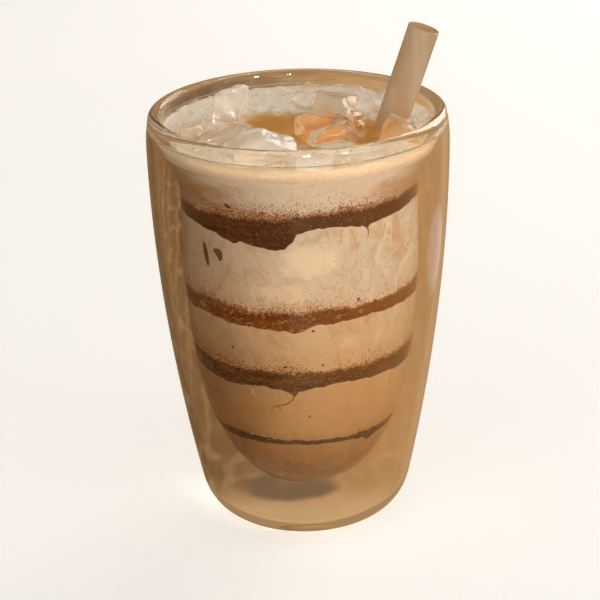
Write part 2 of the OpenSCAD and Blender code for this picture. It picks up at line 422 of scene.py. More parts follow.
    # sparse fine grains everywhere
    grain = m.span(m.noise(0.8, 1.0, 0.5), 0.69, 0.74)
    base = m.mix(m.math("MULTIPLY", grain, 0.35), base, srgb(150, 100, 58))
    # the whole drink a shade darker in tone, and the left side a little more as painted shade
    base = m.mix(m.math("ADD", m.math("MULTIPLY", left, 0.06), 0.10), base, srgb(62, 28, 8))
    m.color(base)
    m.link(m.span(m.noise(3.0, 2.0), 0.3, 0.7, 0.42, 0.6), m.p.inputs["Roughness"])
    m.bump(m.noise(1.2, 3.0), 0.15, 0.0002)
    m.set(IOR=1.33, Specular_IOR_Level=0.08)
    m.set(Subsurface_Weight=0.12, Subsurface_Radius=(1.0, 0.6, 0.35), Subsurface_Scale=0.0015)
    return m.m


def sauce_material(name, dark, mid, light, streak):
    m = Mat(name)
    across = m.attr("across")
    st = m.noise(5.0, 4.0, 0.6, 0.6, vec=m.stretch(m.mm, (0.35, 0.35, 2.6)))
    fine = m.noise(0.8, 3.0, 0.6)
    base = m.ramp(st, [(0.30, dark), (0.52, mid), (0.72, light)])
    gaps = m.noise(2.2, 4.0, 0.68, 1.2, vec=m.stretch(m.mm, (0.8, 0.8, 1.7)))
    base = m.mix(m.math("MULTIPLY", m.span(gaps, 0.55, 0.62), streak), base, srgb(196, 150, 98))
    base = m.mix(m.math("MULTIPLY", m.span(fine, 0.45, 0.70), 0.35), base, tone(light, 0.9))
    # powdery upper edge: the cream shows between the grains
    edge = m.span(across, 0.72, 1.0)
    grain = m.noise(0.42, 2.0, 0.6)
    show = m.math("GREATER_THAN", m.math("ADD", grain, m.math("MULTIPLY", edge, 0.30)), 0.66)
    base = m.mix(m.math("MULTIPLY", show, 0.8), base, srgb(214, 176, 130))
    # lighter towards the right, the side the key lamp lights: painted light
    x = m.sep(m.mm)[0]
    base = m.mix(m.span(x, 0.0, 30.0, 0.0, 0.5), base, tone(light, 1.0))
    low = m.span(across, 0.0, 0.10, 1.0, 0.0)
    base = m.mix(m.math("MULTIPLY", low, 0.35), base, tone(light, 1.25))
    base = m.mix(0.22, base, srgb(40, 16, 2))
    m.color(base)
    m.link(m.span(fine, 0.3, 0.7, 0.35, 0.55), m.p.inputs["Roughness"])
    m.bump(m.noise(0.9, 3.0), 0.3, 0.0002)
    m.set(IOR=1.40, Specular_IOR_Level=0.06)
    return m.m


def plain(name, rgb, rough=0.5, size=1.5, vary=0.25, bump=0.2, ior=1.4, **kw):
    m = Mat(name)
    n = m.noise(size, 3.0, 0.6)
    m.color(m.mix(m.span(n, 0.3, 0.7), tone(rgb, 1 - vary), tone(rgb, 1 + vary)))
    m.link(m.span(n, 0.3, 0.7, rough * 0.8, rough * 1.2), m.p.inputs["Roughness"])
    m.bump(m.noise(size * 0.6, 3.0), bump, 0.0002)
    m.set(IOR=ior, **kw)
    return m.m


def froth_film_material():
    """What the froth leaves on the inside of the rim: cream, browner towards the left."""
    m = Mat("froth_film")
    x = m.sep(m.mm)[0]
    n = m.noise(7.0, 4.0, 0.6, 1.4)
    base = m.mix(m.span(n, 0.40, 0.62), srgb(230, 204, 170), srgb(252, 243, 228))
    base = m.mix(m.span(x, -34.0, -22.0, 0.6, 0.0), base, srgb(192, 150, 104))
    m.color(base)
    m.link(m.span(m.noise(2.2, 3.0), 0.3, 0.7, 0.40, 0.58), m.p.inputs["Roughness"])
    m.bump(m.noise(1.0, 3.0), 0.25, 0.0002)
    m.set(IOR=1.33, Specular_IOR_Level=0.2)
    return m.m


def froth_material():
    m = Mat("froth_and_coffee")
    foam = m.attr("foam")
    deep = m.attr("deep")
    n1 = m.noise(5.0, 4.0, 0.6, 1.2)
    n2 = m.noise(1.1, 3.0, 0.6)
    fo = m.math("ADD", foam, m.math("MULTIPLY", m.math("SUBTRACT", n1, 0.5), 0.5))
    white = m.mix(m.span(n2, 0.35, 0.7), srgb(247, 228, 203), srgb(254, 244, 228))
    base = m.ramp(fo, [(0.10, srgb(214, 148, 66)), (0.32, srgb(222, 168, 96)), (0.52, srgb(222, 190, 150)),
                       (0.78, srgb(238, 221, 198))])
    base = m.mix(m.span(fo, 0.62, 0.9), base, white)
    base = m.mix(deep, base, srgb(216, 154, 72))
    m.color(base)
    m.link(m.span(fo, 0.2, 0.7, 0.10, 0.5), m.p.inputs["Roughness"])
    v = m.n.new("ShaderNodeTexVoronoi")
    v.inputs["Scale"].default_value = 1 / 0.9
    m.link(m.mm, v.inputs["Vector"])
    hgt = m.math("ADD", m.math("MULTIPLY", v.outputs["Distance"], 0.5), n2)
    m.bump(hgt, 0.25, 0.0002)
    m.set(IOR=1.34, Subsurface_Weight=0.15, Subsurface_Radius=(1.0, 0.7, 0.4), Subsurface_Scale=0.002)
    return m.m


def ice_material(name, tint, cloud, frost, rough=0.06):
    """Wet ice: clear, with cloudy patches where milk clings to it."""
    m = Mat(name)
    n1 = m.noise(6.0, 3.0, 0.55, 0.8)
    n2 = m.noise(1.6, 3.0, 0.6)
    m.color(m.mix(m.span(n1, 0.42, 0.62), tint, cloud))
    m.set(IOR=1.31, Transmission_Weight=1.0 - frost)
    m.link(m.span(n1, 0.40, 0.65, rough, min(0.15, rough + 0.08)), m.p.inputs["Roughness"])
    m.bump(m.math("ADD", n1, m.math("MULTIPLY", n2, 0.35)), 0.35, 0.0008)
    m.set(Coat_Weight=0.7, Coat_Roughness=0.03, Coat_IOR=1.4)
    m.lets_lamps_through((0.86, 0.82, 0.76, 1.0))
    return m.m


# ------------------------------------------------------------------ camera
def make_camera():
    el, roll, D, f = math.radians(22.8821), math.radians(1.45492), 516.134, 1783.97
    ux, uy = 1.9806, 10.1231
    loc = Vector((0, -D * math.cos(el), 61.0 + D * math.sin(el)))
    fw = Vector((0, math.cos(el), -math.sin(el)))
    rt = Vector((1, 0, 0))
    up = rt.cross(fw)

    def rot(v, ax, an):
        return Matrix.Rotation(an, 3, ax) @ v
    yaw, pitch = math.atan2(ux, f), math.atan2(uy, f)
    fw, rt = rot(fw, up, yaw), rot(rt, up, yaw)
    fw, up = rot(fw, rt, pitch), rot(up, rt, pitch)
    rt, up = rot(rt, fw, roll), rot(up, fw, roll)
    cam = bpy.data.cameras.new("camera")
    cam.sensor_width = 36.0
    cam.lens = f * 36.0 / 600.0
    cam.clip_start, cam.clip_end = 0.01, 50.0
    ob = bpy.data.objects.new("camera", cam)
    m3 = Matrix((rt, up, -fw)).transposed()
    ob.matrix_world = Matrix.Translation(loc * MM) @ m3.to_4x4()
    scene.collection.objects.link(ob)
    scene.camera = ob


make_camera()

# ------------------------------------------------------------------ glass
def make_glass():
    # a shallow dimple under the foot
    prof = [(r, 0.6 * (1 - smooth(4.5, 13.6, r))) for r in (0, 3, 4.5, 5.5, 6.5, 7.5, 8.5, 9.5, 10.5, 11.5, 12.5, 13.2, 13.8, 14.9)]
    for i in range(0, 27):
        t = i / 26
        z = HEEL_Z * t * t
        prof.append((side_r(z) - (side_r(0) - FOOT_R) * (1 - t) ** 2.15, z))
    n = 46
    for i in range(1, n + 1):
        z = HEEL_Z + (ZM - HEEL_Z) * i / n
        prof.append((side_r(z), z))
    # shoulder easing into the lip
    for t in (0.25, 0.5, 0.75):
        z = ZM + (LIP_Z - ZM) * t
        prof.append((RM - 0.75 * t ** 2.2, z))
    for i in range(0, 17):
        a = math.pi * i / 16
        prof.append((LIP_C + LIP * math.cos(a), LIP_Z + LIP * math.sin(a)))
    z = LIP_Z - 0.8
    while z > ROUND_Z:
        prof.append((r_ii(z), z))
        z -= 2.0
    m = 44
    for i in range(m):
        z = FLOOR_IN + (ROUND_Z - FLOOR_IN) * (1 - i / m) ** 2.4
        prof.append((r_ii(z), z))
    prof.append((0, FLOOR_IN))
    verts, faces = [], []
    lathe(prof, 160, verts, faces)
    # the sealed air gap
    cav = [(0, FLOOR_OUT)]
    for i in range(1, m + 1):
        z = FLOOR_OUT + (ROUND_Z - FLOOR_OUT) * (i / m) ** 2.4
        cav.append((r_io(z), z))
    gap_z, low_z = LIP_Z - 2.8, 0.6 + 1.9
    z = ROUND_Z + 2.0
    while z < gap_z - 0.3:
        cav.append((r_io(z), z))
        z += 1.5
    ri, ro = r_io(gap_z), shoulder_r(gap_z) - 1.6
    c, rr = (ri + ro) / 2, (ro - ri) / 2
    for i in range(0, 11):
        a = math.pi - math.pi * i / 10
        cav.append((c + rr * math.cos(a), gap_z + rr * math.sin(a)))
    for z in (116.0, 114.6, 113.2):
        cav.append((shoulder_r(z) - 1.6, z))
    n = 46
    for i in range(0, n + 1):
        z = ZM - (ZM - HEEL_Z) * i / n
        cav.append((side_r(z) - 1.6 * math.sqrt(1 + side_slope(z) ** 2), z))
    w = 1.6 * math.sqrt(1 + side_slope(HEEL_Z) ** 2)
    for i in range(1, 25):
        t = 1 - i / 24
        z = low_z + (HEEL_Z - low_z) * t * t
        cav.append((side_r(z) - w - (side_r(low_z) - w - (FOOT_R - 1.5)) * (1 - t) ** 2.15, z))
    cav.append((0, low_z))
    lathe(cav, 160, verts, faces)
    ob = mesh_object("glass_double_wall", verts, faces)
    ob.data.materials.append(glass_material())
    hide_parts("glass")
    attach(ob, "root")
    return ob


def check_outward(ob):
    """Signed volume must be positive for the outer shell."""
    bm = bmesh.new()
    bm.from_mesh(ob.data)
    v = bm.calc_volume(signed=True)
    bm.free()
    return v


glass = make_glass()
if check_outward(glass) < 0:
    glass.data.flip_normals()

# ------------------------------------------------------------------ drink body
WALL_IN = 0.28        # how far what fills the glass reaches into the wall


def make_drink():
    prof = [(0, FLOOR_IN - WALL_IN)]
    zs = [FLOOR_IN + (ROUND_Z - FLOOR_IN) * (i / 40) ** 2.2 for i in range(1, 41)]
    z = ROUND_Z + 1.5
    while z < 112.8:
        zs.append(z)
        z += 1.5
    for z in zs:
        prof.append((r_ii(z) + WALL_IN, z))
    prof += [(r_ii(113) + WALL_IN, 113.0), (30, 113.2), (15, 113.2), (0, 113.2)]
    verts, faces = [], []
    lathe(prof, 168, verts, faces)
    ob = mesh_object("drink_layers", verts, faces)
    outward(ob)
    ob.data.materials.append(drink_material())
    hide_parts("coffee", "milk_coffee")
    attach(ob, "root")
    return ob


make_drink()

# ------------------------------------------------------------------ rings
def waves(seed, ks, amps):
    r = random.Random(seed)
    ph = [(k, a, r.uniform(0, TAU)) for k, a in zip(ks, amps)]
    return lambda a: sum(w * math.sin(k * math.radians(a) + p) for k, w, p in ph)


def knots(pairs):
    xs = [p[0] for p in pairs]
    ys = [p[1] for p in pairs]
    xa = np.array([x - 360 for x in xs] + xs + [x + 360 for x in xs], float)
    ya = np.array(ys * 3, float)

    def f(a):
        a = (a + 180) % 360 - 180
        i = int(np.searchsorted(xa, a)) - 1
        x0, x1, y0, y1 = xa[i], xa[i + 1], ya[i], ya[i + 1]
        t = (a - x0) / (x1 - x0)
        t = t * t * (3 - 2 * t)
        return y0 + (y1 - y0) * t
    return f


RINGS = {
    1: dict(up=[(-150, 100.2), (-100, 99.4), (-60, 100.2), (-37, 101.6), (-16, 102.2), (1, 102.6), (19, 103.0), (40, 103.0), (62, 103.6), (100, 102.8), (140, 101.6), (175, 100.8)],
            lo=[(-155, 92.8), (-147, 95.4), (-110, 95.0), (-80, 95.4), (-62, 95.2), (-50, 94.8), (-44, 94.3), (-39, 93.0), (-33, 92.5), (-29, 93.2), (-24, 92.6), (-17, 92.2), (-12, 91.3), (-8, 91.7), (-4, 94.0), (-1, 96.7), (4, 97.5), (12, 97.9), (24, 97.2), (30, 97.0), (33, 96.1), (36, 97.0), (49, 97.5), (64, 98.4), (95, 97.6), (140, 95.6), (149, 92.6), (158, 95.4), (180, 95.8)],
            nz=0.28, col=(srgb(66, 31, 7), srgb(82, 41, 11), srgb(120, 72, 28)), streak=0.04, seed=3),
    2: dict(up=[(-150, 75.6), (-100, 74.4), (-77, 74.8), (-51, 75.8), (-36, 75.6), (-23, 74.2), (-15, 75.0), (-3, 74.8), (10, 75.4), (31, 74.9), (44, 75.2), (64, 75.4), (100, 76.0), (150, 75.4)],
            lo=[(-165, 66.8), (-158, 69.2), (-110, 69.5), (-73, 69.0), (-55, 69.6), (-37, 69.0), (-24, 68.6), (-10, 68.4), (-4, 67.9), (0, 68.2), (7, 70.0), (26, 70.6), (42, 70.8), (64, 70.2), (84, 69.8), (112, 69.6), (120, 67.8), (128, 69.8), (160, 69.9), (185, 69.4)],
            nz=0.34, col=(srgb(80, 38, 8), srgb(126, 64, 16), srgb(144, 88, 36)), streak=0.9, seed=5),
    3: dict(up=[(-150, 56.4), (-100, 57.2), (-71, 57.3), (-50, 57.1), (-33, 56.6), (-19, 56.7), (-5, 57.1), (5, 56.6), (21, 56.4), (39, 56.4), (80, 56.8), (130, 57.0), (170, 56.2)],
            lo=[(-138, 50.4), (-129, 48.6), (-120, 50.6), (-74, 50.8), (-53, 50.4), (-42, 49.5), (-34, 49.9), (-22, 51.0), (-13, 49.9), (-8, 49.3), (-5, 47.9), (-2, 49.6), (7, 50.9), (21, 51.5), (41, 51.0), (60, 50.4), (82, 50.6), (104, 50.6), (110, 48.8), (117, 50.6), (150, 51.0), (185, 50.4)],
            nz=0.26, col=(srgb(64, 32, 8), srgb(94, 54, 20), srgb(128, 82, 38)), streak=0.3, seed=8),
    4: dict(up=[(-120, 33.8), (-64, 34.0), (-42, 33.9), (-27, 33.7), (-8, 33.2), (11, 33.1), (25, 32.9), (40, 33.2), (77, 33.4), (130, 33.6), (175, 33.2)],
            lo=[(-120, 30.8), (-62, 30.3), (-38, 30.7), (-10, 31.2), (10, 31.3), (25, 31.0), (37, 30.6), (44, 28.6), (51, 30.2), (60, 30.4), (100, 30.8), (162, 30.8), (171, 29.4), (180, 30.6)],
            nz=0.2, col=(srgb(56, 31, 11), srgb(74, 43, 17), srgb(98, 62, 29)), streak=0.2, seed=11),
}
UPPER = {}


def make_ring(i):
    d = RINGS[i]
    up0, lo0 = knots(d["up"]), knots(d["lo"])
    wu = waves(d["seed"], (17, 29, 43, 71, 113, 167), (0.5, 0.45, 0.4, 0.4, 0.35, 0.3))
    wl = waves(d["seed"] + 50, (13, 23, 41, 67, 97), (0.6, 0.5, 0.4, 0.3, 0.2))
    up = lambda a: up0(a) + d["nz"] * wu(a)
    lo = lambda a: lo0(a) + d["nz"] * 0.8 * wl(a)
    UPPER[i] = up
    n, m = 620, 12
    verts, faces, across = [], [], []
    for j in range(n):
        a = 360.0 * j / n - 180
        zu, zl = up(a), lo(a)
        for k in range(m + 1):
            v = k / m
            z = zl + (zu - zl) * v
            # thick in the middle, thinning to nothing at its edges
            swell = (4 * v * (1 - v)) ** 0.5
            lump = 0.10 * fbm(0.28 * math.cos(math.radians(a)) * 30, 0.28 * math.sin(math.radians(a)) * 30, 0.5 * z, 3)
            verts.append(at(a, r_ii(z) + WALL_IN - 0.10 + (0.34 + lump) * swell, z))
            across.append(v)
        for v in (0.96, 0.5, 0.04):
            z = zl + (zu - zl) * v
            verts.append(at(a, r_ii(z) - 0.6 - (0.4 if v == 0.5 else 0), z))
            across.append(v)
    w = m + 4
    for j in range(n):
        b, c = j * w, ((j + 1) % n) * w
        for k in range(w):
            k2 = (k + 1) % w
            faces.append((b + k, c + k, c + k2, b + k2))
    ob = mesh_object(f"chocolate_sauce_{i}", verts, faces, attrs={"across": across})
    outward(ob)
    ob.data.materials.append(sauce_material(f"chocolate_{i}", *d["col"], d["streak"]))
    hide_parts(f"chocolate_ring_{i}")
    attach(ob, "root")


for i in (1, 2, 3, 4):
    make_ring(i)


# ------------------------------------------------------------------ cocoa specks
def make_specks():
    verts, faces = [], []

    def speck(a, z, r, lift=0.07, squash=1.0):
        rr = r_ii(z) + WALL_IN
        c = Vector(at(a, rr, z))
        out = Vector(at(a, 1, 0)).normalized()
        side = Vector((-out.y, out.x, 0))
        spin = random.uniform(0, TAU)
        b = len(verts)
        for k in range(6):
            t = TAU * k / 6 + spin
            q = r * random.uniform(0.75, 1.2)
            verts.append(tuple(c + side * (q * math.cos(t)) + Vector((0, 0, 1)) * (q * squash * math.sin(t)) - out * 0.03))
        verts.append(tuple(c + out * lift))
        verts.append(tuple(c - out * 0.12))
        for k in range(6):
            k2 = (k + 1) % 6
            faces.append((b + k, b + k2, b + 6))
            faces.append((b + k2, b + k, b + 7))
    patch = waves(91, (2, 5, 9, 14), (0.4, 0.3, 0.3, 0.2))
    for i, count, mean, big in ((1, 5000, 1.5, 0.30), (2, 2500, 1.6, 0.26), (3, 3400, 1.4, 0.27), (4, 700, 1.0, 0.20)):
        made = 0
        while made < count:
            a = random.uniform(-180, 180)
            if random.random() > 0.55 + 0.45 * patch(a + 37 * i):
                continue
            h = random.expovariate(1 / mean) - 0.5
            if h > 9:
                continue
            z = UPPER[i](a) + h
            if z > 112:
                continue
            speck(a, z, big * random.uniform(0.35, 1.0) * (1.15 if h < 1 else 0.85))
            made += 1
    for _ in range(700):      # scattered everywhere
        z = random.uniform(24, 111)
        speck(random.uniform(-180, 180), z, random.uniform(0.06, 0.14))
    for _ in range(260):      # a few below the rings
        i = random.choice((1, 1, 2, 2, 3))
        a = random.uniform(-180, 180)
        z = UPPER[i](a) - 7.5 - random.expovariate(0.6)
        speck(a, z, random.uniform(0.07, 0.16))
    ob = mesh_object("cocoa_specks", verts, faces, smooth_shade=False)
    ob.data.materials.append(plain("cocoa_powder", srgb(156, 82, 26), 0.6, 0.5, 0.3, Specular_IOR_Level=0.08))
    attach(ob, "root")


make_specks()


def blob_on_wall(verts, faces, a, z, rx, rz, turn=0.0, lift=0.22, bend=0.0, seg=20, rows=5):
    """A flattened drop lying on the inside of the wall; bend curls it like a kidney."""
    b0 = len(verts)
    t0 = math.radians(turn)
    pts = []
    for i in range(rows + 1):
        q = i / rows
        for k in range(seg):
            t = TAU * k / seg
            u, w = rx * q * math.cos(t), rz * q * math.sin(t)
            w += bend * (u / rx) ** 2 * rz
            uu, ww = u * math.cos(t0) - w * math.sin(t0), u * math.sin(t0) + w * math.cos(t0)
            zz = z + ww
            aa = a + math.degrees(uu / (r_ii(z) + 0.2))
            hgt = lift * math.sqrt(max(0.0, 1 - q * q))
            pts.append(at(aa, r_ii(zz) + WALL_IN - 0.05 + hgt, zz))
            if i == 0:
                break
    verts.extend(pts)
    low = len(verts)
    verts.append(at(a, r_ii(z) - 0.4, z))
    for k in range(seg):
        k2 = (k + 1) % seg
        faces.append((b0, b0 + 1 + k, b0 + 1 + k2))
        for i in range(rows - 1):
            p, q = b0 + 1 + i * seg, b0 + 1 + (i + 1) * seg
            faces.append((p + k, q + k, q + k2, p + k2))
        p = b0 + 1 + (rows - 1) * seg
        faces.append((p + k, low, p + k2))


def make_blobs():
    verts, faces = [], []
    for spec in BLOBS:
        blob_on_wall(verts, faces, *spec)
    rr = random.Random(21)
    for _ in range(26):      # the same kind of grains round the far side
        a = rr.uniform(60, 300)
        blob_on_wall(verts, faces, a, rr.uniform(40, 108), rr.uniform(0.25, 0.6), rr.uniform(0.3, 0.8), rr.uniform(0, 180), 0.15, rr.choice((0, 0, 0.6)), 12, 3)
    ob = mesh_object("sauce_drops", verts, faces)
    outward(ob)
    ob.data.materials.append(plain("sauce_drop", srgb(108, 70, 36), 0.35, 1.0, 0.25, Specular_IOR_Level=0.1))
    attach(ob, "root")


def strip_on_wall(verts, faces, path, width, lift=0.16):
    """A thin flattened thread along (angle, z) points on the wall, tapering to both ends."""
    n = len(path)
    b0 = len(verts)
    for i, (a, z) in enumerate(path):
        a0, z0 = path[max(0, i - 1)]
        a1, z1 = path[min(n - 1, i + 1)]
        r = r_ii(z)
        dx, dz = math.radians(a1 - a0) * r, z1 - z0
        L = math.hypot(dx, dz) or 1
        nx, nz = -dz / L, dx / L
        t = i / (n - 1)
        w = width * (0.25 + 0.75 * math.sin(math.pi * min(1, 0.12 + 0.88 * t)) ** 0.6) * (1 - 0.5 * t)
        for k, (s, h) in enumerate(((-1, -0.08), (-0.6, lift * 0.7), (0, lift), (0.6, lift * 0.7), (1, -0.08), (0, -0.5))):
            aa = a + math.degrees(nx * s * w / r)
            zz = z + nz * s * w
            verts.append(at(aa, r_ii(zz) + WALL_IN + h, zz))
    for i in range(n - 1):
        p, q = b0 + 6 * i, b0 + 6 * (i + 1)
        for k in range(6):
            k2 = (k + 1) % 6
            faces.append((p + k, q + k, q + k2, p + k2))
    faces.append(tuple(b0 + k for k in range(6)))
    faces.append(tuple(b0 + 6 * (n - 1) + 5 - k for k in range(6)))


def curve(points, n=18):
    """Catmull-Rom through (angle, z) points."""
    P = [points[0]] + list(points) + [points[-1]]
    out = []
    per = max(2, n // (len(points) - 1))
    for i in range(1, len(P) - 2):
        for k in range(per):
            t = k / per
            q = []
            for c in (0, 1):
                p0, p1, p2, p3 = P[i - 1][c], P[i][c], P[i + 1][c], P[i + 2][c]
                q.append(0.5 * (2 * p1 + (p2 - p0) * t + (2 * p0 - 5 * p1 + 4 * p2 - p3) * t * t + (3 * p1 - p0 - 3 * p2 + p3) * t ** 3))
            out.append(tuple(q))
    out.append(points[-1])
    return out


# drops and smudges on the wall: angle, height, half width, half height, turn, lift, bend
BLOBS = [
    (-34.5, 103.6, 1.15, 0.75, -30, 0.2, 0.3),
    (-42, 88.8, 2.1, 1.35, -46, 0.28, -0.7),
    (-51, 87.4, 1.0, 3.8, 14, 0.2, 0.0),
    (27.5, 76.4, 0.5, 0.5, 0, 0.2, 0.0),
    (5, 68.6, 0.5, 0.45, 0, 0.2, 0.0),
    (-17, 73.6, 0.75, 0.7, 0, 0.22, 0.0),
    (-37, 61.6, 0.42, 0.42, 0, 0.2, 0.0),
    (-9, 57.6, 0.6, 0.42, 10, 0.2, 0.0),
    (9.5, 57.9, 0.45, 0.4, 0, 0.2, 0.0),
    (2.5, 41.6, 0.4, 0.4, 0, 0.18, 0.0),
]
make_blobs()


def make_runs():
    verts, faces = [], []
    strip_on_wall(verts, faces, curve([(-5, 48.6), (-6.5, 47.0), (-10, 45.6), (-14.5, 45.0), (-17, 44.2), (-18.5, 43.0)]), 0.26)
    strip_on_wall(verts, faces, curve([(-14.5, 45.0), (-13, 44.2), (-12.6, 43.4)], 8), 0.16)
    strip_on_wall(verts, faces, curve([(33, 96.6), (33.4, 95.2), (33.2, 93.6)], 8), 0.30)
    strip_on_wall(verts, faces, curve([(140, 95), (141, 91), (139, 87)]), 0.35)
    strip_on_wall(verts, faces, curve([(-110, 50.5), (-112, 46), (-108, 43)]), 0.3)
    strip_on_wall(verts, faces, curve([(205, 69), (206, 64), (203, 61)]), 0.35)
    ob = mesh_object("sauce_threads", verts, faces)
    outward(ob)
    ob.data.materials.append(plain("sauce_thread", srgb(118, 72, 34), 0.4, 1.5, 0.3, Specular_IOR_Level=0.1))
    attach(ob, "root")
    # pale runs where a little sauce has washed down through the cream
    verts, faces = [], []
    rr = random.Random(4)
    for a, z, L, w in ((20, 96.9, 4.5, 0.3), (25, 96.7, 6.5, 0.35), (44, 96.4, 4.0, 0.35),
                       (12, 97.2, 3.5, 0.35), (-55, 94.0, 4.0, 0.4), (16, 69.6, 4.0, 0.4), (33, 69.6, 5.0, 0.5), (-28, 49.6, 3.0, 0.4), (48, 50.2, 4.5, 0.6)):
        pts = [(a + rr.uniform(-1, 1) * 0.8 * k, z - L * k / 4) for k in range(5)]
        strip_on_wall(verts, faces, curve(pts, 20), w, 0.06)
    for _ in range(26):
        a, z, L, w = rr.uniform(70, 290), rr.choice((96, 69.5, 50)), rr.uniform(3, 9), rr.uniform(0.3, 0.9)
        pts = [(a + rr.uniform(-1, 1) * 0.8 * k, z - L * k / 4) for k in range(5)]
        strip_on_wall(verts, faces, curve(pts, 20), w, 0.06)
    ob = mesh_object("sauce_washes", verts, faces)
    outward(ob)
    ob.data.materials.append(plain("sauce_wash", srgb(214, 174, 126), 0.5, 2.0, 0.12, Specular_IOR_Level=0.1))
    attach(ob, "root")


make_runs()

# ------------------------------------------------------------------ ice
# centre, size, turn in degrees, as the CAD solids; kind
ICE = [
    ((-19.6, 12.0, 112.6), (7.2, 18, 22), (4, 6, -12), "frost"),
    ((-9.0, -23.2, 112.6), (19.5, 11.5, 18), (16, -8, 6), "frost"),
    ((-20.6, -10.6, 113.8), (13, 8.5, 9), (3, -4, 8), "milky"),
    ((8.6, -10.2, 112.8), (15.5, 14.5, 18), (-6, 8, 20), "clear"),
    ((27.4, -13.4, 113.4), (11, 9.5, 15), (8, 12, -18), "amber"),
    ((10.6, 13.6, 113.0), (11, 12.5, 15), (-5, 4, -8), "milky"),
    ((-29.2, -1.6, 112.0), (6.6, 12, 13), (0, 5, -4), "milky"),
    ((16.6, 1.2, 114.6), (3.6, 7.5, 8), (6, 10, 14), "clear"),
]


# slanting faces broken off each piece: direction, and how far out along it
CHIPS = {
    0: [((0.7, -0.3, 0.6), 0.62), ((-0.5, 0.2, 0.8), 0.80), ((0.3, -0.8, 0.35), 0.66)],
    1: [((0.50, 0.02, 0.86), 0.66), ((-0.62, -0.06, 0.78), 0.74), ((0.02, -0.70, 0.70), 0.76)],
    2: [((0.2, -0.75, 0.6), 0.64), ((-0.6, 0.5, 0.6), 0.70)],
    3: [((-0.55, -0.22, 0.80), 0.70), ((0.72, -0.12, 0.62), 0.74), ((0.1, 0.7, 0.7), 0.80)],
    4: [((-0.5, -0.5, 0.7), 0.62), ((0.6, 0.4, 0.6), 0.70)],
    5: [((-0.4, -0.5, 0.76), 0.66), ((0.7, -0.3, 0.55), 0.68)],
    6: [((0.6, -0.4, 0.66), 0.64), ((-0.2, 0.8, 0.5), 0.70)],
    7: [((0.5, -0.5, 0.7), 0.66)],
}


def chop(bm, direction, out):
    """Cuts the piece flat beyond a plane and closes it."""
    d = Vector(direction).normalized()
    far = max(v.co.dot(d) for v in bm.verts)
    bmesh.ops.bisect_plane(bm, geom=list(bm.verts) + list(bm.edges) + list(bm.faces), plane_co=d * far * out,
                           plane_no=d, clear_outer=True)
    bmesh.ops.holes_fill(bm, edges=[e for e in bm.edges if e.is_boundary], sides=0)


def ice_piece(i, spec):
    c, s, turn, kind = spec
    rr = random.Random(100 + i)
    bm = bmesh.new()
    bmesh.ops.create_cube(bm, size=1.0)
    for v in bm.verts:
        v.co = Vector((v.co.x * s[0] * rr.uniform(0.90, 1.05), v.co.y * s[1] * rr.uniform(0.90, 1.05), v.co.z * s[2] * rr.uniform(0.98, 1.06)))
    for d, out in CHIPS[i]:
        chop(bm, d, out)
    for _ in range(3):
        d = Vector((rr.uniform(-1, 1), rr.uniform(-1, 1), rr.uniform(-0.4, 0.9)))
        chop(bm, d, rr.uniform(0.84, 0.93))
    bmesh.ops.bevel(bm, geom=list(bm.edges), offset=0.055 * min(s) + 0.22, offset_type="OFFSET", segments=2, profile=0.6, affect="EDGES", clamp_overlap=True)
    bmesh.ops.remove_doubles(bm, verts=list(bm.verts), dist=0.02)
    bmesh.ops.triangulate(bm, faces=bm.faces)
    for _ in range(4):
        long = [e for e in bm.edges if e.calc_length() > 0.9]
        if not long:
            break
        bmesh.ops.subdivide_edges(bm, edges=long, cuts=1)
        bmesh.ops.triangulate(bm, faces=bm.faces)
    bm.normal_update()
    for v in bm.verts:
        p = v.co * 0.13 + Vector((i * 7.3, 1.7, 0.4))
        v.co += v.normal * (0.65 * noise.noise(p) + 0.20 * noise.noise(p * 3.4) + 0.07 * noise.noise(p * 9.0))
    rot = Euler([math.radians(t) for t in turn], "XYZ").to_matrix()
    for v in bm.verts:
        q = rot @ v.co + Vector(c)
        lim = r_ii(min(q.z, 118)) - 0.5
        r = math.hypot(q.x, q.y)
        if r > lim:
            q.x *= lim / r
            q.y *= lim / r
        v.co = q * MM
    me = bpy.data.meshes.new(f"ice_cube_{i + 1}")
    bm.to_mesh(me)
    bm.free()
    me.polygons.foreach_set("use_smooth", [True] * len(me.polygons))
    ob = bpy.data.objects.new(f"ice_cube_{i + 1}", me)
    scene.collection.objects.link(ob)
    me.materials.append(ICE_MATS[kind])
    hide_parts(f"ice_{i + 1}")
    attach(ob, "root")
    return ob


ICE_MATS = {
    "frost": ice_material("ice_frosted", srgb(248, 242, 232), srgb(238, 226, 208), 0.52, 0.07),
    "milky": ice_material("ice_milky", srgb(246, 232, 208), srgb(238, 218, 188), 0.58, 0.07),
    "clear": ice_material("ice_clear", srgb(253, 247, 232), srgb(244, 222, 180), 0.14, 0.02),
    "amber": ice_material("ice_amber", srgb(250, 232, 196), srgb(232, 194, 136), 0.34, 0.04),
}
for i, spec in enumerate(ICE):
    ice_piece(i, spec)


# ------------------------------------------------------------------ froth surface
def inside_box(x, y, spec, grow=0.0):
    """Signed distance in plan from an ice piece's footprint, negative inside."""
    c, s, turn, _ = spec
    t = math.radians(turn[2])
    dx, dy = x - c[0], y - c[1]
    u, w = dx * math.cos(t) + dy * math.sin(t), -dx * math.sin(t) + dy * math.cos(t)
    qx, qy = abs(u) - s[0] / 2 + grow, abs(w) - s[1] / 2 + grow
    return math.hypot(max(qx, 0), max(qy, 0)) + min(max(qx, qy), 0)


S_LO = Vector((-8.1, 0, 15))
S_DIR = Vector((33.6, -2, 101)).normalized()
S_R, S_LEN = 4.3, 136.0


def straw_at(z):
    return S_LO + S_DIR * ((z - S_LO.z) / S_DIR.z)


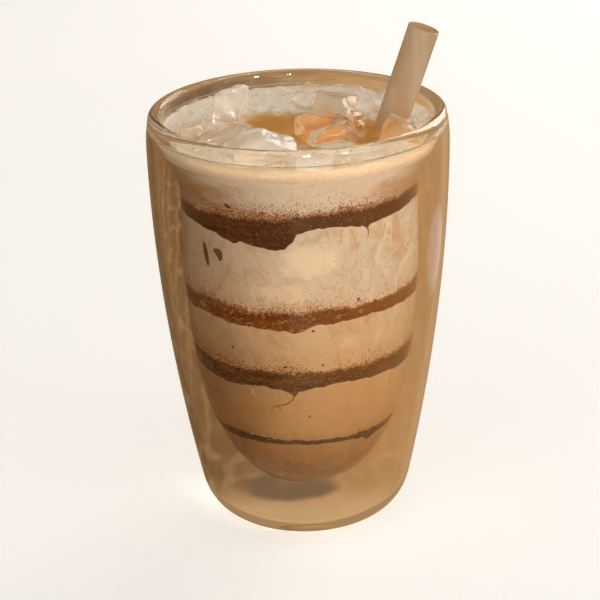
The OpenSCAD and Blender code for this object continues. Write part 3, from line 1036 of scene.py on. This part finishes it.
def foam_amount(x, y):
    """1 is thick froth, 0 is open coffee."""
    r = math.hypot(x, y)
    wx = x + 5 * fbm(x * 0.09, y * 0.09, 3.1, 3)
    wy = y + 5 * fbm(x * 0.09, y * 0.09, 9.7, 3)
    f = 0.62 + 0.45 * fbm(wx * 0.10, wy * 0.10, 0.3, 4)
    open_mid = math.exp(-(((x + 9) / 8.5) ** 2 + ((y - 5) / 8.5) ** 2)) + math.exp(-(((x - 4) / 12.0) ** 2 + ((y - 4) / 13.0) ** 2))
    open_right = math.exp(-(((x - 24) / 10.0) ** 2 + ((y + 2) / 13.0) ** 2))
    f -= 0.75 * open_mid + 0.55 * open_right
    f += 0.35 * smooth(28, 35, r) + 0.30 * smooth(8, 20, y)
    f += 0.15 * smooth(-2, -14, x)
    return max(0.0, min(1.0, f))


def froth_height(x, y):
    r = math.hypot(x, y)
    R = r_ii(LEVEL)
    fo = foam_amount(x, y)
    h = LEVEL - 0.55 + 0.75 * fo
    wx = x + 6 * noise.noise(Vector((x * 0.08, y * 0.08, 5.0)))
    wy = y + 6 * noise.noise(Vector((x * 0.08, y * 0.08, 8.0)))
    h += fo * 0.55 * noise.noise(Vector((wx * 0.22, wy * 0.22, 1.0)))
    h += fo * 0.22 * noise.noise(Vector((wx * 0.6, wy * 0.6, 2.0)))
    h += 0.9 * math.exp(-(R - r) / 1.3) if r < R + 1 else 0.9
    deep = 0.0
    for sp in ICE:
        d = inside_box(x, y, sp, 0.6)
        if d > 0:
            h += 0.45 * math.exp(-d / 1.1)
        elif sp[3] in ("clear", "amber"):
            k = smooth(0.0, 2.2, -d)
            depth = (9.5 if sp[3] == "clear" else 5.0) * min(1.0, min(sp[1][0], sp[1][1]) / 12)
            h -= depth * k
            deep = max(deep, k * (0.85 if sp[3] == "clear" else 0.6))
    s = straw_at(LEVEL)
    d = math.hypot(x - s.x, y - s.y) - S_R
    if d > 0:
        h += 0.4 * math.exp(-d / 0.9)
    return h, fo, deep


def make_froth():
    n, rows = 300, 96
    R = r_ii(LEVEL) + WALL_IN
    verts, faces, foam, deepv = [], [], [], []

    def add(x, y):
        h, fo, de = froth_height(x, y)
        verts.append((x, y, h))
        foam.append(fo)
        deepv.append(de)
    add(0, 0)
    for i in range(1, rows + 1):
        r = R * (i / rows)
        for j in range(n):
            t = TAU * j / n
            add(r * math.cos(t), r * math.sin(t))
    for z in (LEVEL - 1.5, 112.7):
        for j in range(n):
            t = TAU * j / n
            rr = r_ii(z) + WALL_IN + 0.02
            verts.append((rr * math.cos(t), rr * math.sin(t), z))
            foam.append(0.85)
            deepv.append(0)
    c = len(verts)
    verts.append((0, 0, 100.0))
    foam.append(0.5)
    deepv.append(0)
    for j in range(n):
        k = (j + 1) % n
        faces.append((0, 1 + j, 1 + k))
        for i in range(rows + 1):
            a, b = 1 + i * n, 1 + (i + 1) * n
            faces.append((a + j, b + j, b + k, a + k))
        a = 1 + (rows + 1) * n
        faces.append((a + j, c, a + k))
    ob = mesh_object("froth_top", verts, faces, attrs={"foam": foam, "deep": deepv})
    outward(ob)
    ob.data.materials.append(froth_material())
    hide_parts("froth")
    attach(ob, "root")


make_froth()


def make_film():
    """Froth left on the inside of the wall above the drink, with a ragged top."""
    n, m = 540, 8
    w1 = waves(31, (3, 5, 8, 13), (0.9, 0.7, 0.6, 0.4))
    w2 = waves(32, (19, 31, 47, 83, 131), (0.35, 0.3, 0.25, 0.18, 0.12))
    verts, faces = [], []
    for j in range(n):
        a = 360.0 * j / n - 180
        top = LEVEL + 1.35 + 0.55 * w1(a) + 0.8 * w2(a)
        top = max(LEVEL + 0.5, min(LEVEL + 3.6, top))
        for k in range(m + 1):
            v = k / m
            z = LEVEL - 0.8 + (top - LEVEL + 0.8) * v
            lump = 0.12 * noise.noise(Vector((a * 0.25, z * 1.3, 2.0)))
            thick = (0.42 + lump) * (1 - v) ** 0.5 + 0.05
            verts.append(at(a, r_ii(z) - thick, z))
        for v in (1.0, 0.0):
            z = LEVEL - 0.8 + (top - LEVEL + 0.8) * v
            verts.append(at(a, r_ii(z) + 0.12, z))
    w = m + 3
    for j in range(n):
        b, c = j * w, ((j + 1) % n) * w
        for k in range(w):
            k2 = (k + 1) % w
            faces.append((b + k, c + k, c + k2, b + k2))
    ob = mesh_object("froth_on_wall", verts, faces)
    outward(ob)
    ob.data.materials.append(froth_film_material())
    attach(ob, "root")


make_film()


def make_bubbles():
    verts, faces = [], []
    rr = random.Random(55)
    seg, rows = 14, 5

    def dome(x, y, z, r):
        b = len(verts)
        for i in range(rows + 1):
            p = math.pi * (i / rows) * 0.98 + 0.01
            for k in range(seg):
                t = TAU * k / seg
                verts.append((x + r * math.sin(p) * math.cos(t), y + r * math.sin(p) * math.sin(t), z + r * 0.75 * math.cos(p)))
        for i in range(rows):
            for k in range(seg):
                k2 = (k + 1) % seg
                p, q = b + i * seg, b + (i + 1) * seg
                faces.append((p + k, q + k, q + k2, p + k2))
        faces.append(tuple(b + k for k in range(seg)))
        faces.append(tuple(b + rows * seg + seg - 1 - k for k in range(seg)))
    n = 0
    while n < 210:
        a, q = rr.uniform(0, TAU), math.sqrt(rr.uniform(0, 1))
        r = q * 34.6
        if rr.random() < 0.45:
            r = rr.uniform(33.0, 35.2)
        x, y = r * math.cos(a), r * math.sin(a)
        if any(inside_box(x, y, sp) < 0.5 for sp in ICE):
            continue
        h, fo, de = froth_height(x, y)
        s = rr.choice((0.22, 0.3, 0.3, 0.45, 0.6)) * rr.uniform(0.8, 1.2)
        dome(x, y, h - s * 0.2, s)
        n += 1
    h, _, _ = froth_height(-1.2, 24)
    dome(-1.0, 24.0, h - 0.2, 1.5)
    dome(5.0, 27.0, froth_height(5, 27)[0] - 0.1, 0.9)
    ob = mesh_object("froth_bubbles", verts, faces)
    outward(ob)
    m = Mat("bubble_skin")
    m.set(IOR=1.2, Transmission_Weight=0.75)
    nn = m.noise(0.6, 2.0)
    m.color(m.mix(m.span(nn, 0.3, 0.7), srgb(248, 232, 206), srgb(238, 212, 176)))
    m.link(m.span(nn, 0.3, 0.7, 0.02, 0.08), m.p.inputs["Roughness"])
    m.lets_lamps_through((0.95, 0.93, 0.9, 1))
    ob.data.materials.append(m.m)
    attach(ob, "root")


make_bubbles()


# ------------------------------------------------------------------ straw
def make_straw():
    verts, faces = [], []
    n, rows = 64, 60
    t0 = (-S_DIR.cross(Vector((0, 1, 0)))).normalized()
    t1 = S_DIR.cross(t0).normalized()
    prof = []
    for i in range(rows + 1):
        prof.append((S_R, S_LEN * i / rows))
    prof[0] = (S_R, 0.12)
    prof[-1] = (S_R, S_LEN - 0.14)
    prof += [(S_R - 0.08, S_LEN - 0.03), (S_R - 0.25, S_LEN), (S_R - 0.42, S_LEN - 0.03), (S_R - 0.5, S_LEN - 0.14)]
    for i in range(rows, -1, -1):
        prof.append((S_R - 0.5, S_LEN * i / rows if 0 < i < rows else (S_LEN - 0.3 if i else 0.12)))
    prof += [(S_R - 0.42, 0.03), (S_R - 0.25, 0.0), (S_R - 0.08, 0.03)]
    for (r, l) in prof:
        for j in range(n):
            t = TAU * j / n
            # barely out of round
            q = r * (1 + 0.004 * math.sin(2 * t + l * 0.02))
            p = S_LO + S_DIR * l + t0 * (q * math.cos(t)) + t1 * (q * math.sin(t))
            verts.append(tuple(p))
    m = len(prof)
    for i in range(m):
        a, b = i * n, ((i + 1) % m) * n
        for j in range(n):
            k = (j + 1) % n
            faces.append((a + j, a + k, b + k, b + j))
    ob = mesh_object("straw_tube", verts, faces)
    outward(ob)
    mt = Mat("straw_translucent")
    x, y, z = mt.sep(mt.mm)
    n1 = mt.noise(14.0, 2.0, 0.5, 0.3, vec=mt.stretch(mt.mm, (3.0, 3.0, 0.4)))
    base = mt.mix(mt.span(n1, 0.35, 0.65), srgb(222, 194, 157), srgb(232, 210, 180))
    wet = mt.span(z, 116.0, 127.0, 1.0, 0.0)
    base = mt.mix(mt.math("MULTIPLY", wet, 0.5), base, srgb(202, 164, 118))
    mt.color(base)
    mt.link(mt.span(n1, 0.3, 0.7, 0.10, 0.15), mt.p.inputs["Roughness"])
    mt.bump(mt.noise(3.0, 2.0, vec=mt.stretch(mt.mm, (4.0, 4.0, 0.2))), 0.1, 0.0002)
    mt.set(IOR=1.45, Transmission_Weight=0.40)
    mt.lets_lamps_through((0.7, 0.62, 0.5, 1.0))
    ob.data.materials.append(mt.m)
    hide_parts("straw")
    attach(ob, "root")


make_straw()


# ------------------------------------------------------------------ stage
def make_stage():
    me = bpy.data.meshes.new("floor")
    s = 6.0
    me.from_pydata([(-s, -s, 0), (s, -s, 0), (s, s, 0), (-s, s, 0)], [], [(0, 1, 2, 3)])
    ob = bpy.data.objects.new("floor", me)
    scene.collection.objects.link(ob)
    ob.location.z = -0.0001
    m = Mat("pale_floor")
    n = m.noise(400.0, 2.0)
    pale = m.mix(m.span(n, 0.3, 0.7), (0.84, 0.81, 0.77, 1), (0.86, 0.83, 0.79, 1))
    # refracted rays see the floor as a painted warm brown glow, lighter to the right and under the glass's near edge
    x, y, z = m.sep(m.mm)
    refracted_glow = m.mix(m.span(x, -55.0, 48.0), (0.130, 0.062, 0.021, 1), (0.53, 0.290, 0.112, 1))
    near = m.math("MULTIPLY", m.span(y, -14.0, 8.0, 1.0, 0.0), m.span(m.math("ABSOLUTE", x), 20.0, 44.0, 1.0, 0.0))
    refracted_glow = m.mix(m.math("MULTIPLY", near, 0.8), refracted_glow, (0.74, 0.51, 0.29, 1))
    # painted pale streaks in that refracted glow
    wave = m.math("ADD", m.math("MULTIPLY", x, 0.40), m.math("MULTIPLY", m.noise(22.0, 2.0), 9.0))
    refracted_glow = m.mix(m.span(m.math("SINE", wave), 0.1, 1.0, 0.0, 0.19), refracted_glow, (0.68, 0.45, 0.25, 1))
    refracted_glow = m.mix(m.span(m.noise(15.0, 3.0), 0.52, 0.70, 0.0, 0.34), refracted_glow, (0.68, 0.46, 0.25, 1))
    # a painted shadow of the drink: a dark oval on the floor, seen through the base
    ox = m.math("DIVIDE", m.math("ADD", x, 5.0), 15.0)
    oy = m.math("DIVIDE", m.math("SUBTRACT", y, 5.0), 9.5)
    painted_shadow_oval = m.math("ADD", m.math("MULTIPLY", ox, ox), m.math("MULTIPLY", oy, oy))
    painted_shadow_oval = m.math("ADD", painted_shadow_oval, m.math("MULTIPLY", m.math("SUBTRACT", m.noise(9.0, 2.0), 0.5), 0.7))
    refracted_glow = m.mix(m.span(painted_shadow_oval, 0.50, 1.30, 0.93, 0.0), refracted_glow, (0.115, 0.065, 0.035, 1))
    # a painted reflection: a soft pale patch that only reflected rays see, showing on the right of the glass
    dx = m.math("DIVIDE", m.math("SUBTRACT", x, 182.0), 55.0)
    dy = m.math("DIVIDE", m.math("SUBTRACT", y, 125.0), 62.0)
    soft = m.span(m.math("ADD", m.math("MULTIPLY", dx, dx), m.math("MULTIPLY", dy, dy)), 0.4, 1.2, 1.0, 0.0)
    # what reflected rays see is a painted glow too: dark in front of the glass, brown behind, lighter to the right
    far = m.mix(m.span(x, -60.0, 20.0), (0.17, 0.092, 0.036, 1), (0.40, 0.25, 0.12, 1))
    gloss = m.mix(m.span(y, -85.0, -40.0), (0.035, 0.022, 0.013, 1), far)
    gloss = m.mix(soft, gloss, (0.88, 0.78, 0.80, 1))
    lp = m.n.new("ShaderNodeLightPath")
    base = m.mix(lp.outputs["Is Glossy Ray"], (0.68, 0.65, 0.60, 1), (0, 0, 0, 1))
    base = m.mix(lp.outputs["Is Transmission Ray"], base, (0, 0, 0, 1))
    m.color(m.mix(lp.outputs["Is Camera Ray"], base, pale))
    # the floor glows these painted colours to reflected and refracted rays, and an even pale glow to the camera
    glow = m.mix(lp.outputs["Is Glossy Ray"], (0, 0, 0, 1), gloss)
    glow = m.mix(lp.outputs["Is Transmission Ray"], glow, refracted_glow)
    glow = m.mix(lp.outputs["Is Camera Ray"], glow, (0.36, 0.355, 0.345, 1))
    m.link(glow, m.p.inputs["Emission Color"])
    m.set(Roughness=0.7, IOR=1.3, Emission_Strength=1.0)
    me.materials.append(m.m)
    ob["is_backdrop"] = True


def area(name, loc, target, size, power, rgb=(1, 1, 1), size_y=None):
    d = bpy.data.lights.new(name, "AREA")
    d.energy = power
    d.color = rgb
    d.size = size
    if size_y:
        d.shape = "RECTANGLE"
        d.size_y = size_y
    ob = bpy.data.objects.new(name, d)
    ob.location = loc
    ob.rotation_euler = (Vector(target) - Vector(loc)).to_track_quat("-Z", "Y").to_euler()
    scene.collection.objects.link(ob)
    return ob


def make_light():
    w = bpy.data.worlds.new("studio")
    scene.world = w
    w.use_nodes = True
    nt = w.node_tree
    bg = nt.nodes["Background"]
    bg.inputs["Strength"].default_value = 0.62
    tc = nt.nodes.new("ShaderNodeTexCoord")
    sp = nt.nodes.new("ShaderNodeSeparateXYZ")
    nt.links.new(tc.outputs["Generated"], sp.inputs[0])

    def sky(low, level, high):
        rp = nt.nodes.new("ShaderNodeValToRGB")
        e = rp.color_ramp.elements
        e[0].position, e[0].color = 0.0, low
        e[1].position, e[1].color = 1.0, high
        e.new(0.5).color = level
        nt.links.new(up, rp.inputs[0])
        return rp.outputs[0]

    def swap(kind, a, b):
        mx = nt.nodes.new("ShaderNodeMix")
        mx.data_type = "RGBA"
        nt.links.new(lp.outputs[kind], mx.inputs[0])
        for sock, v in ((mx.inputs[6], a), (mx.inputs[7], b)):
            if isinstance(v, tuple):
                sock.default_value = v
            else:
                nt.links.new(v, sock)
        return mx.outputs[2]
    half = nt.nodes.new("ShaderNodeMath")
    half.operation = "MULTIPLY_ADD"
    half.inputs[1].default_value = 0.5
    half.inputs[2].default_value = 0.5
    nt.links.new(sp.outputs[2], half.inputs[0])
    up = half.outputs[0]
    lp = nt.nodes.new("ShaderNodeLightPath")
    c = sky((0.50, 0.46, 0.40, 1), (0.68, 0.64, 0.58, 1), (0.84, 0.82, 0.79, 1))
    c = swap("Is Glossy Ray", c, sky((0.15, 0.085, 0.036, 1), (0.20, 0.118, 0.055, 1), (0.56, 0.48, 0.40, 1)))
    c = swap("Is Transmission Ray", c, sky((0.30, 0.18, 0.08, 1), (0.48, 0.31, 0.15, 1), (0.80, 0.70, 0.56, 1)))
    c = swap("Is Camera Ray", c, (1.35, 1.32, 1.27, 1))
    nt.links.new(c, bg.inputs[0])
    tgt = (0, 0, 0.07)
    area("key", (1.10, -0.85, 0.42), tgt, 0.7, 3.3, (0.98, 0.99, 1.0))
    area("back", (0.75, 0.95, 0.60), tgt, 0.8, 5.9, (1.0, 0.97, 0.92)).visible_transmission = False
    area("fill", (-0.95, -0.95, 0.34), tgt, 0.9, 1.5, (0.99, 0.98, 0.96))
    area("low", (0.25, -1.25, 0.10), (0, 0, 0.10), 0.6, 2.9, (0.98, 0.99, 1.0))
    # two small lamps for the sparkles on the wet ice and the rim
    for name, loc in (("lamp_1", (0.73, -0.98, 0.72)), ("lamp_2", (0.13, -1.17, 0.72))):
        lamp = area(name, loc, (0, 0, 0.12), 0.12, 8.0, (1.0, 0.97, 0.93))
        lamp.visible_diffuse = False
        lamp.visible_transmission = False


make_stage()
make_light()
scene.view_settings.view_transform = "Standard"
# light runs a long way inside the thin walls before it leaves them
scene.cycles.max_bounces = 28
scene.cycles.glossy_bounces = 16
scene.cycles.transmission_bounces = 24
scene.view_settings.look = "None"

lo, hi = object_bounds()
{"cad": [list(cad_lo), list(cad_hi)], "visual": [list(lo), list(hi)]}
